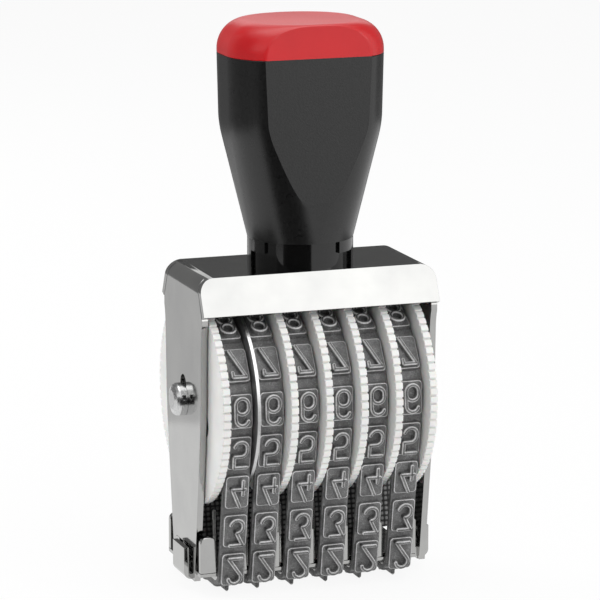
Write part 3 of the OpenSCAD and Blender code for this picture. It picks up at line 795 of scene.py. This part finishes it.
def raised_stroke_tree():
    """Sweeps a tapered ridge along centre lines in the XY plane and rounds the lines' ends."""
    tree, given = geometry_tree(
        "raised_stroke",
        ["Foot Radius", "Shoulder Radius", "Top Radius", "Shoulder Height", "Bevel Height"],
        Profile="Object",
    )
    line = result(tree, "GeometryNodeMeshToCurve", {"Mesh": given["Geometry"]})
    level = result(tree, "GeometryNodeSetCurveNormal", {"Curve": line}, mode="Z_UP")
    profile = add(tree, "GeometryNodeObjectInfo", {"Object": given["Profile"]})
    outline = result(tree, "GeometryNodeMeshToCurve", {"Mesh": profile.outputs["Geometry"]})
    ridge = result(
        tree,
        "GeometryNodeCurveToMesh",
        {"Curve": level, "Profile Curve": outline, "Fill Caps": True},
    )

    def cone(foot, top, height):
        return add(
            tree,
            "GeometryNodeMeshCone",
            {"Vertices": 20, "Radius Bottom": foot, "Radius Top": top, "Depth": height},
        ).outputs["Mesh"]

    lower = cone(given["Foot Radius"], given["Shoulder Radius"], given["Shoulder Height"])
    upper = cone(given["Shoulder Radius"], given["Top Radius"], given["Bevel Height"])
    lift = vector(tree, Z=given["Shoulder Height"])
    knob = join(tree, lower, moved(tree, upper, Translation=lift))
    ends = result(tree, "GeometryNodeCurveEndpointSelection", {"Start Size": 1, "End Size": 1})
    knobs = result(
        tree, "GeometryNodeInstanceOnPoints", {"Points": line, "Selection": ends, "Instance": knob}
    )
    close_tree(tree, join(tree, ridge, knobs))
    return tree


def figure_meshes(sizes):
    """Each figure as a mesh of raised strokes, its foot on z = 0, turned as on the band."""
    tree = raised_stroke_tree()
    foot_share, shoulder_share, top_share, shoulder_height_share = 1.35, 1.05, 0.5, 0.84
    shares = (foot_share, shoulder_share, top_share)
    foot, shoulder, top = (sizes.stroke / 2 * share for share in shares)
    height = sizes.relief + sizes.pad_height / 2
    shoulder_z = shoulder_height_share * height
    # The sweep turns the profile half round, so it is drawn upside down
    outline = [(foot, 0), (-foot, 0), (-shoulder, -shoulder_z), (-top, -height)]
    outline += [(top, -height), (shoulder, -shoulder_z)]
    loop = [(i, (i + 1) % len(outline)) for i in range(len(outline))]
    profile = new_object(
        "stroke_profile", mesh_from("stroke_profile", [(x, y, 0) for x, y in outline], loop)
    )
    values = {
        "Foot Radius": foot * MM,
        "Shoulder Radius": shoulder * MM,
        "Top Radius": top * MM,
        "Shoulder Height": shoulder_z * MM,
        "Bevel Height": (height - shoulder_z) * MM,
        "Profile": profile,
    }
    meshes = {}
    for code, lines in figure_lines(sizes).items():
        points, edges = [], []
        for line in lines:
            start = len(points)
            closed = math.dist(line[0], line[-1]) < 0.01
            kept = line[:-1] if closed else line
            points += [(x, -y, 0) for x, y in kept]
            edges += [(start + i, start + i + 1) for i in range(len(kept) - 1)]
            if closed:
                edges.append((start + len(kept) - 1, start))
        mesh = grow(f"figure_{code:02d}", mesh_from("lines", points, edges), tree, values)
        face_outwards(mesh)
        # The strokes' upper bevels take the painted edge highlight
        mark_faces(mesh, lambda face: face.center.z > shoulder_z * MM and face.normal.z < 0.99)
        meshes[code] = mesh
    bpy.data.objects.remove(profile)
    return meshes


def rounded_rectangle(width, length, corner, steps=6):
    """Points of a rounded rectangle in the XY plane, anticlockwise."""
    x, y = width / 2 - corner, length / 2 - corner
    return [
        point
        for cx, cy, start in [(x, y, 0), (-x, y, 90), (-x, -y, 180), (x, -y, 270)]
        for point in arc(cx, cy, corner, start, start + 90, steps)
    ]


def pad_mesh(sizes):
    """A pad of rubber with drawn-in sides and a rounded upper edge, its foot on z = 0."""
    height = sizes.pad_height + sizes.belt / 2
    # How far each ring is drawn in, and its height
    steps = [(0, 0), (0.04, height - 0.2), (0.09, height - 0.07), (0.2, height)]
    rings = [
        [
            (x, y, z)
            for x, y in rounded_rectangle(
                sizes.pad_width - 2 * inset,
                sizes.pad_length - 2 * inset,
                sizes.pad_corner - inset / 2,
            )
        ]
        for inset, z in steps
    ]
    mesh = skin_rings("pad", rings)
    # The pad's upper rim takes the painted edge highlight
    mark_faces(mesh, lambda face: face.center.z > (height - 0.1) * MM and face.normal.z < 0.99)
    return mesh


def number_band_tree():
    """A belt from its closed path, with a pad and a figure at the path's marked points."""
    tree, given = geometry_tree(
        "number_band",
        ["Belt Width", "Belt Thickness", "Pad Base", "Figure Base"],
        Pad="Object",
        Figures="Collection",
        Material="Material",
        Rubbed_Material="Material",
    )
    ribbon = result(
        tree,
        "GeometryNodeExtrudeMesh",
        {
            "Mesh": given["Geometry"],
            "Offset": vector(tree, X=1.0),
            "Offset Scale": given["Belt Width"],
        },
        mode="EDGES",
    )
    outer = result(
        tree,
        "GeometryNodeExtrudeMesh",
        {"Mesh": ribbon, "Offset Scale": given["Belt Thickness"], "Individual": False},
    )
    inner = result(tree, "GeometryNodeFlipFaces", {"Mesh": ribbon})
    whole = join(tree, outer, inner)
    belt = result(tree, "GeometryNodeMergeByDistance", {"Geometry": whole, "Distance": SAME_POINT})

    centre = vector(tree, X=maths(tree, "MULTIPLY", given["Belt Width"], 0.5))
    turn = vector(tree, X=attribute(tree, "turn", "FLOAT"))
    points = result(
        tree, "GeometryNodeSetPosition", {"Geometry": given["Geometry"], "Offset": centre}
    )
    pads = add(tree, "GeometryNodeObjectInfo", {"Object": given["Pad"], "As Instance": True})
    figures = add(
        tree,
        "GeometryNodeCollectionInfo",
        {"Collection": given["Figures"], "Separate Children": True, "Reset Children": True},
    )

    def placed(base, instance, marks, **choice):
        """One instance at each marked point, turned with the belt and lifted to its base."""
        instances = result(
            tree,
            "GeometryNodeInstanceOnPoints",
            {
                "Points": points,
                "Selection": attribute(tree, marks, "BOOLEAN"),
                "Instance": instance,
                "Rotation": turn,
                **choice,
            },
        )
        return result(
            tree,
            "GeometryNodeTranslateInstances",
            {
                "Instances": instances,
                "Translation": vector(tree, Z=given[base]),
                "Local Space": True,
            },
        )

    choice = {"Pick Instance": True, "Instance Index": attribute(tree, "figure", "INT")}
    band = join(
        tree,
        belt,
        placed("Pad Base", pads.outputs["Geometry"], "pad"),
        placed("Figure Base", figures.outputs["Instances"], "has_figure", **choice),
    )
    close_tree(tree, band, given["Material"], given["Rubbed Material"])
    return tree


def band_path(sizes, track, length, codes, x):
    """The belt's closed path, with its turn at each point and marks for pads and figures."""
    per_pad = 20
    count = sizes.pads * per_pad
    places = [track(i * length / count - sizes.shift) for i in range(count)]
    mesh = mesh_from(
        "path", [(x, y, z) for y, z, _ in places], [(i, (i + 1) % count) for i in range(count)]
    )
    marked = [i // per_pad in codes and i % per_pad == 0 for i in range(count)]
    figures = [codes.index(i // per_pad) if marked[i] else 0 for i in range(count)]
    store(mesh, "turn", "FLOAT", [math.pi - a for _, _, a in places])
    store(mesh, "pad", "BOOLEAN", [i % per_pad == 0 for i in range(count)])
    store(mesh, "has_figure", "BOOLEAN", marked)
    store(mesh, "figure", "INT", figures)
    return mesh


class StampBands(bpy.types.Operator):
    """Six endless rubber bands with raised figures on pads, lined with woven cotton"""

    bl_idname = "stamp.number_bands"
    bl_label = "Number bands"

    def execute(self, context):
        sizes = context.scene.stamp_bands
        finish = context.scene.stamp_finish
        rubber = vulcanised_rubber("vulcanised_rubber", ["#505050", finish.rubber, "#9A9A9A"])
        # The pale rubber is a painted highlight on the edges that catch the light, with the
        # rubber's talc specks
        rubbed = vulcanised_rubber("rubber_edges_painted_highlight", ["#B0B0B0", finish.rubbed, "#E8E8E8"])
        cotton = cotton_backing()
        low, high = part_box("wheel_1")
        track, length = band_track(sizes, (low.z + high.z) / 2 / MM)
        meshes = figure_meshes(sizes)
        shelf = bpy.data.collections.new("figures")
        context.scene.collection.children.link(shelf)
        for code, mesh in meshes.items():
            shelf.objects.link(bpy.data.objects.new(f"figure_{code:02d}", mesh))
        pad = new_object("pad", pad_mesh(sizes))
        tree = number_band_tree()
        codes = list(meshes)
        for n in BANDS:
            low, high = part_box(f"band_{n}")
            path = band_path(sizes, track, length, codes, low.x / MM)
            mesh = grow(
                f"number_band_{n}",
                path,
                tree,
                {
                    "Belt Width": high.x - low.x,
                    "Belt Thickness": sizes.belt * MM,
                    "Pad Base": sizes.belt / 2 * MM,
                    "Figure Base": (sizes.belt + sizes.pad_height / 2) * MM,
                    "Pad": pad,
                    "Figures": shelf,
                    "Material": rubber,
                    "Rubbed Material": rubbed,
                },
            )
            band = new_object(f"number_band_{n}", mesh)
            finish_piece(band, None, "root", [f"band_{n}"], 30)
            lining = self.lining(track, length, sizes, (low.x / MM, high.x / MM), n)
            finish_piece(lining, cotton, "root", ())
        for stored in [pad, *shelf.objects]:
            bpy.data.objects.remove(stored)
        bpy.data.collections.remove(shelf)
        return {"FINISHED"}

    def cotton_reach(self, n):
        """How far the cotton stands out left and right, each over the tabs and beside them."""
        half_gap, by_separator, to_left_plate, to_frame_side = 0.73, 0.48, 1.3, 3.7
        to_own_tab, to_next_tab = 0.08, 0.45
        narrow = (by_separator, by_separator)
        wide = (to_frame_side, to_frame_side)
        left = {1: (to_left_plate, to_own_tab), 2: narrow}.get(n, (half_gap, to_next_tab))
        right = {1: narrow, 6: wide}.get(n, (half_gap, to_own_tab))
        return left, right

    def lining(self, track, length, sizes, edges, n):
        """The woven cotton on the belt's inner face, wider than the belt on its rear run."""
        count, thick, tucked, slant = sizes.pads * 40, 0.04, -0.15, 0.35
        over_platen, over_tabs, under_discs, under_separator = 3.6, 9.95, 16.35, 13.7
        reach = self.cotton_reach(n)
        by_separator = {1: 1, 2: 0}.get(n)
        rings = []
        for side, lift in [(0, -thick), (1, -thick), (1, thick), (0, thick)]:
            over, beside = reach[side]
            free_to = under_separator if side == by_separator else under_discs
            ring = []
            for i in range(count):
                y, z, a = track(i * length / count)
                high = max(0.0, min(1.0, (z - over_tabs) / slant))
                out = beside + (over - beside) * high
                share = max(0.0, min(1.0, (z - over_platen) / slant, (free_to - z) / slant))
                out = tucked + (out - tucked) * (share if y > 0 else 0)
                x = edges[side] + (out if side else -out)
                ring.append((x, y - math.sin(a) * lift, z - math.cos(a) * lift))
            rings.append(ring)
        return new_object(f"cotton_lining_{n}", skin_rings("lining", rings, False))


# ---- Handle ----


def cut_oval(cx, cy, rx, ry, half_flat, z):
    """A ring of four quarter ovals cut off at the flats, with a thin chamfer where they meet."""
    chamfer, steepest, oval_steps, flat_steps = 0.3, 88, 24, 8
    meets = math.degrees(math.asin(max(0.0, min(1.0, (half_flat - cy) / ry))))
    meets = min(meets, steepest)
    starts = meets - math.degrees(chamfer / ry)
    line = arc(cx, cy, ry, 0, starts, oval_steps) + arc(cx, cy, ry, meets, 90, flat_steps)
    quarter = [(cx + (x - cx) * rx / ry, min(y, half_flat)) for x, y in line]
    half = quarter + [(-x, y) for x, y in quarter[::-1]]
    return [(x, y, z) for x, y in half + [(-x, -y) for x, y in half]]


def grip_ring(sizes, width, half_flat, z, t, inset):
    """The grip's section at one height: from the round skirt, t = 0, to the full oblong, t = 1."""
    r = sizes.skirt_radius + (sizes.corner - sizes.skirt_radius) * t - inset
    w = 2 * sizes.skirt_radius + (width - 2 * sizes.skirt_radius) * t - 2 * inset
    d = 2 * sizes.skirt_radius + (sizes.depth - 2 * sizes.skirt_radius) * t - 2 * inset
    return cut_oval(w / 2 - r, d / 2 - r, r, r, half_flat, z)


def dome_ring(sizes, width, half_flat, z, share):
    """A ring of the cap's dome, share being 0 where it starts and 1 at the top's rim."""
    # The flats run on up the dome almost to its top, whose rim lies this much inside them
    flat_end = 0.7
    half_width = width / 2 + sizes.taper - sizes.cap_rounding * share
    half_depth = sizes.depth / 2 + sizes.taper + (half_flat - flat_end - sizes.depth / 2) * share
    cx = (width / 2 - sizes.corner) * (1 - share)
    cy = sizes.depth / 2 - sizes.corner
    return cut_oval(cx, cy, half_width - cx, half_depth - cy, half_flat, z)


def grip_rings(sizes, width, half_flat, flare_z, cap_z):
    """The grip above its skirt: a flare that eases into the straight part below the cap."""
    steps, ease, rim = 24, 2.0, 0.1
    rings = []
    for k in range(steps + 1):
        z = flare_z + (sizes.flare + ease) * k / steps
        t = (z - flare_z) / sizes.flare
        past = (z - (flare_z + sizes.flare - ease)) / (2 * ease)
        if past > 0:
            t = 1 - ease / sizes.flare * (1 - past) ** 2
        rings.append(grip_ring(sizes, width, half_flat, z, min(t, 1), 0))
    rings.append(grip_ring(sizes, width, half_flat, cap_z - rim, 1, -sizes.taper))
    rings.append(grip_ring(sizes, width, half_flat, cap_z, 1, rim - sizes.taper))
    return rings


def cap_rings(sizes, width, half_flat, cap_z, top_z):
    """The cap: a thin chamfer at its foot, a short straight wall and the dome."""
    steps, rim = 30, 0.1
    rings = [
        grip_ring(sizes, width, half_flat, cap_z, 1, rim - sizes.taper),
        grip_ring(sizes, width, half_flat, cap_z + rim, 1, -sizes.taper),
    ]
    for k in range(steps + 1):
        a = math.radians(90 * k / steps)
        z = top_z - sizes.cap_rounding + sizes.cap_rounding * math.sin(a)
        rings.append(dome_ring(sizes, width, half_flat, z, 1 - math.cos(a)))
    return rings


class StampHandle(bpy.types.Operator):
    """The black moulded grip with its two grained flats, the collar under it and the red cap"""

    bl_idname = "stamp.handle"
    bl_label = "Handle"

    def execute(self, context):
        sizes = context.scene.stamp_grip
        finish = context.scene.stamp_finish
        smooth = black_abs(finish, "moulded_black_abs", 0.5, 0.004, (0.24, 0.34), "#181818")
        # Skirt and collar: glossier, as moulded, and a darker black that is painted shade under the
        # flare
        glossy_shaded_black = black_abs(finish, "polished_black_abs_painted_shade", 0.5, 0.002, (0.08, 0.14), "#0C0C0C")
        grained = black_abs(finish, "grained_black_abs", 0.28, 0.02, (0.42, 0.55), "#1E1E1E")
        low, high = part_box("handle_grip")
        width, half_flat = (high.x - low.x) / MM - 2 * sizes.taper, high.y / MM
        foot_z, cap_z = low.z / MM, high.z / MM
        flare_z = foot_z + sizes.skirt_height
        top_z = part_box("handle_cap")[1].z / MM

        rings = grip_rings(sizes, width, half_flat, flare_z, cap_z)
        grip = new_object("moulded_grip", skin_rings("moulded_grip", rings))
        self.add_legs(grip.data, sizes, foot_z, flare_z)
        for material in (smooth, grained, glossy_shaded_black):
            grip.data.materials.append(material)
        # The skirt below the flare takes the darker black with its painted shade
        for face in grip.data.polygons:
            flat = abs(face.normal.y) > 0.999 and abs(face.center.y) > (half_flat - 0.03) * MM
            face.material_index = 2 if face.center.z < flare_z * MM else 1 if flat else 0
        finish_piece(grip, None, "root", ["handle_grip"], 8)

        rings = cap_rings(sizes, width, half_flat, cap_z, top_z)
        cap = new_object("domed_cap", skin_rings("domed_cap", rings))
        finish_piece(cap, red_abs(finish), "root", ["handle_cap"], 40)
        # The collar also takes the darker black, painted shade under the grip
        frame["nodes"]["handle_collar"].data.materials[0] = glossy_shaded_black
        return {"FINISHED"}

    def add_legs(self, mesh, sizes, foot_z, flare_z):
        """The skirt's two legs between its two windows, each narrower below a step at its sides."""
        wall, turn, steps, overlap = 0.42, -16.5, 24, 0.05
        # Half the angle that a leg spans above its step and below it, and where the step lies
        upper_half, lower_half, step_share = 45.5, 19.5, 0.57
        step_z = foot_z + step_share * (flare_z - foot_z)
        outer = sizes.skirt_radius
        build = bmesh.new()
        build.from_mesh(mesh)
        for side in (0, 180):
            for half, z0, z1 in [
                (upper_half, step_z, flare_z + 0.4 * overlap),
                (lower_half, foot_z, step_z + overlap),
            ]:
                start, end = side + turn - half, side + turn + half
                outline = arc(0, 0, outer, start, end, steps)
                outline += arc(0, 0, outer - wall, end, start, steps)
                count = len(outline)
                foot, head = (
                    [build.verts.new(Vector((x, y, z)) * MM) for x, y in outline] for z in (z0, z1)
                )
                for i in range(count):
                    j = (i + 1) % count
                    build.faces.new((foot[i], foot[j], head[j], head[i]))
                for i in range(steps):
                    quad = (i, i + 1, count - 2 - i, count - 1 - i)
                    build.faces.new([head[k] for k in quad])
                    build.faces.new([foot[k] for k in quad[::-1]])
        bmesh.ops.recalc_face_normals(build, faces=build.faces)
        build.to_mesh(mesh)
        build.free()


# ---- Metal parts ----


class StampMetal(bpy.types.Operator):
    """The bent nickel-plated frame, the platen and its tabs, the axle and the small metal parts"""

    bl_idname = "stamp.metal_parts"
    bl_label = "Frame and metal parts"

    def execute(self, context):
        nickel = nickel_plated_steel(context.scene.stamp_finish)
        # Node, the piece's name and the width of its softened edges in mm
        for node, name, width in [
            ("frame", "bent_frame", 0.22),
            ("platen", "platen_bar", 0.1),
            ("guide_comb", "guide_tabs", 0.1),
        ]:
            piece = soften_edges(merged_copy(node, name), width)
            finish_piece(piece, nickel, "root", [node])
        turned = turned_steel()
        for node in ("axle", "axle_cap", "axle_spacer", "handle_screw", "screw_washer"):
            frame["nodes"][node].data.materials[0] = turned
        frame["nodes"]["separator_disc"].data.materials[0] = spring_steel()
        return {"FINISHED"}


# ---- Stage ----


def softbox(name, place, aim, size, power):
    light = bpy.data.lights.new(name, "AREA")
    light.shape = "RECTANGLE"
    light.size, light.size_y = size
    light.energy = power
    made = new_object(name, light)
    made.location = place
    made.rotation_euler = (Vector(aim) - Vector(place)).to_track_quat("-Z", "Y").to_euler()
    return made


class StampStage(bpy.types.Operator):
    """Camera, pale floor, white surroundings, soft studio light and glowing cards that paint shades
    into the reflections
    """

    bl_idname = "stamp.stage"
    bl_label = "Stage"

    def execute(self, context):
        stage = context.scene.stamp_stage
        self.camera(context, stage)
        self.surroundings(context)
        centre = (0, 0, 0.045)
        for name, place, size, power in [
            ("key_softbox", (0.24, -0.48, 0.42), (0.75, 0.75), stage.key),
            ("top_softbox", (0.0, 0.02, 0.6), (0.5, 0.4), stage.top),
            ("fill_softbox", (-0.5, -0.35, 0.16), (0.3, 0.4), stage.fill),
            ("rear_softbox", (-0.3, 0.476, 0.2), (0.3, 0.3), stage.rear),
        ]:
            light = softbox(name, place, centre, size, power)
            # The rear light lights the wheels' faces, and isn't to shine back from the cap's side
            light.visible_glossy = name != "rear_softbox"
        self.painted_reflection_cards()
        context.scene.view_settings.view_transform = "Standard"
        return {"FINISHED"}

    def camera(self, context, stage):
        data = bpy.data.cameras.new("camera")
        data.lens, data.sensor_width = stage.lens, 36.0
        data.clip_start, data.clip_end = 0.01, 20.0
        camera = new_object("camera", data)
        a, e = math.radians(stage.azimuth), math.radians(stage.elevation)
        back = Vector((math.sin(a) * math.cos(e), -math.cos(a) * math.cos(e), math.sin(e)))
        camera.location = Vector(stage.target) + back * stage.distance
        camera.rotation_mode = "QUATERNION"
        camera.rotation_quaternion = (-back).to_track_quat("-Z", "Y")
        context.scene.camera = camera

    def seen(self, tree):
        """1 for rays from the camera or from glossy or clear surfaces, 0 for the light itself."""
        path = add(tree, "ShaderNodeLightPath").outputs
        either = maths(tree, "MAXIMUM", path["Is Camera Ray"], path["Is Glossy Ray"])
        return maths(tree, "MAXIMUM", either, path["Is Transmission Ray"])

    def painted_reflection_cards(self):
        """Cards round the object that only reflections see, each glowing with a fixed shade:
        painted reflections of dark or pale surroundings.
        """
        painted_reflections = {}
        for shade in ("#202020", "#5C5C5C", "#848484", "#DADADA"):
            painted_reflections[shade], tree = bare_material("painted_reflection_card_" + shade[1:3])
            # Each card glows with its shade as a painted reflection, though it is no lamp
            glow = result(tree, "ShaderNodeEmission", {"Color": linear(shade)})
            add(tree, "ShaderNodeOutputMaterial", {"Surface": glow})
        steps = 24
        # Name, shade, angles that a card spans, and radius and height of its lower and upper edge
        for name, shade, start, end, low, high in [
            ("back_card", "#5C5C5C", 140, 180, (200, 4), (200, 118)),
            ("rear_left_card", "#848484", 180, 225, (200, 18), (200, 300)),
            ("left_card", "#848484", 225, 285, (200, 4), (200, 300)),
            ("front_left_card", "#5C5C5C", -75, -50, (285, 1), (285, 130)),
            ("front_card", "#202020", -50, 6, (285, 1), (285, 130)),
            ("front_floor_card", "#202020", -58, 6, (60, 1), (285, 1)),
            ("rear_floor_card", "#DADADA", 185, 215, (110, 1), (330, 1)),
            ("right_card", "#848484", 95, 140, (200, 30), (200, 300)),
        ]:
            points = [
                (x, y, z)
                for radius, z in (low, high)
                for x, y in arc(0, 0, radius, start - 90, end - 90, steps)
            ]
            quads = [(i, i + 1, i + steps + 2, i + steps + 1) for i in range(steps)]
            card = new_object(name, mesh_from(name, points, (), quads))
            card.data.materials.append(painted_reflections[shade])
            card.visible_camera = card.visible_diffuse = card.visible_shadow = False
            card.visible_transmission = False

    def surroundings(self, context):
        world = bpy.data.worlds.new("studio")
        context.scene.world = world
        world.use_nodes = True
        tree = world.node_tree
        sky = tree.nodes["Background"]
        # The surroundings look white, and light the object at a lower level
        tree.links.new(spread(tree, self.seen(tree), 0.4, 1.0), sky.inputs["Strength"])
        sky.inputs["Color"].default_value = (1, 1, 1, 1)

        # The paper floor: most of its brightness is its own, so that the shadow stays soft
        floor_material, tree = bare_material("white_paper_floor")
        paper = result(tree, "ShaderNodeBsdfDiffuse", {"Color": linear("#FAFAFA")})
        glow = result(tree, "ShaderNodeEmission", {"Color": (1, 1, 1, 1), "Strength": 1.0})
        own_light = 0.91
        share = maths(tree, "MULTIPLY", self.seen(tree), own_light)
        mix = result(tree, "ShaderNodeMixShader", {0: share, 1: paper, 2: glow})
        add(tree, "ShaderNodeOutputMaterial", {"Surface": mix})
        # In mm, just below the figures' faces
        half, z = 3000, -0.02
        corners = [(-half, -half, z), (half, -half, z), (half, half, z), (-half, half, z)]
        floor = new_object("floor", mesh_from("floor", corners, (), [(0, 1, 2, 3)]))
        floor.data.materials.append(floor_material)


# ---- Panel and registration ----


OPERATORS = [StampMetal, StampWheels, StampBands, StampHandle, StampStage]


class StampPanel(bpy.types.Panel):
    """Sidebar panel that lists the operators and their settings"""

    bl_idname = "VIEW3D_PT_numbering_stamp"
    bl_label = "Numbering stamp"
    bl_space_type = "VIEW_3D"
    bl_region_type = "UI"
    bl_category = "Numbering stamp"

    def draw(self, context):
        for operator in OPERATORS:
            self.layout.operator(operator.bl_idname)
        for name, group in SETTINGS.items():
            box = self.layout.box()
            for field in group.__annotations__:
                box.prop(getattr(context.scene, name), field)


def register():
    for group in [*SETTINGS.values(), *OPERATORS, StampPanel]:
        bpy.utils.register_class(group)
    for name, group in SETTINGS.items():
        setattr(bpy.types.Scene, name, bpy.props.PointerProperty(type=group))


def unregister():
    for name in SETTINGS:
        delattr(bpy.types.Scene, name)
    for group in [StampPanel, *reversed(OPERATORS), *SETTINGS.values()]:
        bpy.utils.unregister_class(group)


def main():
    register()
    for operator in OPERATORS:
        group, name = operator.bl_idname.split(".")
        getattr(getattr(bpy.ops, group), name)()


if __name__ == "__main__":
    main()
